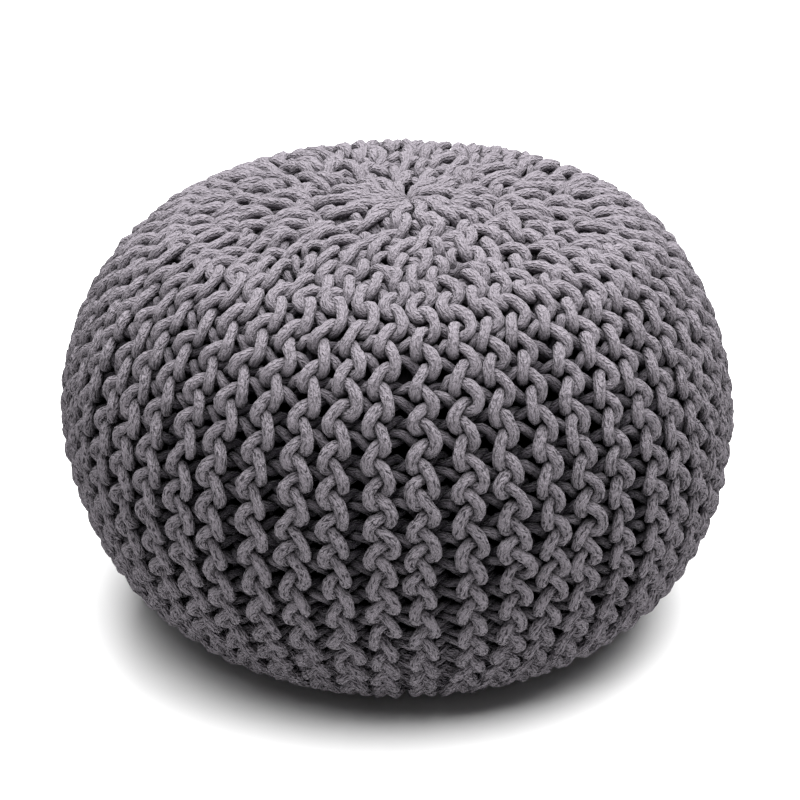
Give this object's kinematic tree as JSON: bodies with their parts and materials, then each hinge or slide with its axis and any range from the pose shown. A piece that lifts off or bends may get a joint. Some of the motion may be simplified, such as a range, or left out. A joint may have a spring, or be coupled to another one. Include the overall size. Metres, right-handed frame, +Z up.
{
  "type": "knitted pouf",
  "caption": "Round stuffed floor pouf in thick cotton cord, garter-stitch knitted with ridges that run from a gathered crown to a flat base.",
  "frame": {"origin": "on the floor, at the middle of the pouf's width and depth", "axes": "+Z up from the base to the gathered crown, +X to the right and -Y to the front; it is much the same from all sides"},
  "size_m": [0.5499, 0.55, 0.363],
  "materials": {
    "cord": "matt mauve-grey cotton cord with a fine braided surface and a little lint, near-black gaps between the stitches"
  },
  "bodies": {
    "root": {"pouf": "cord"}
  },
  "joints": []
}
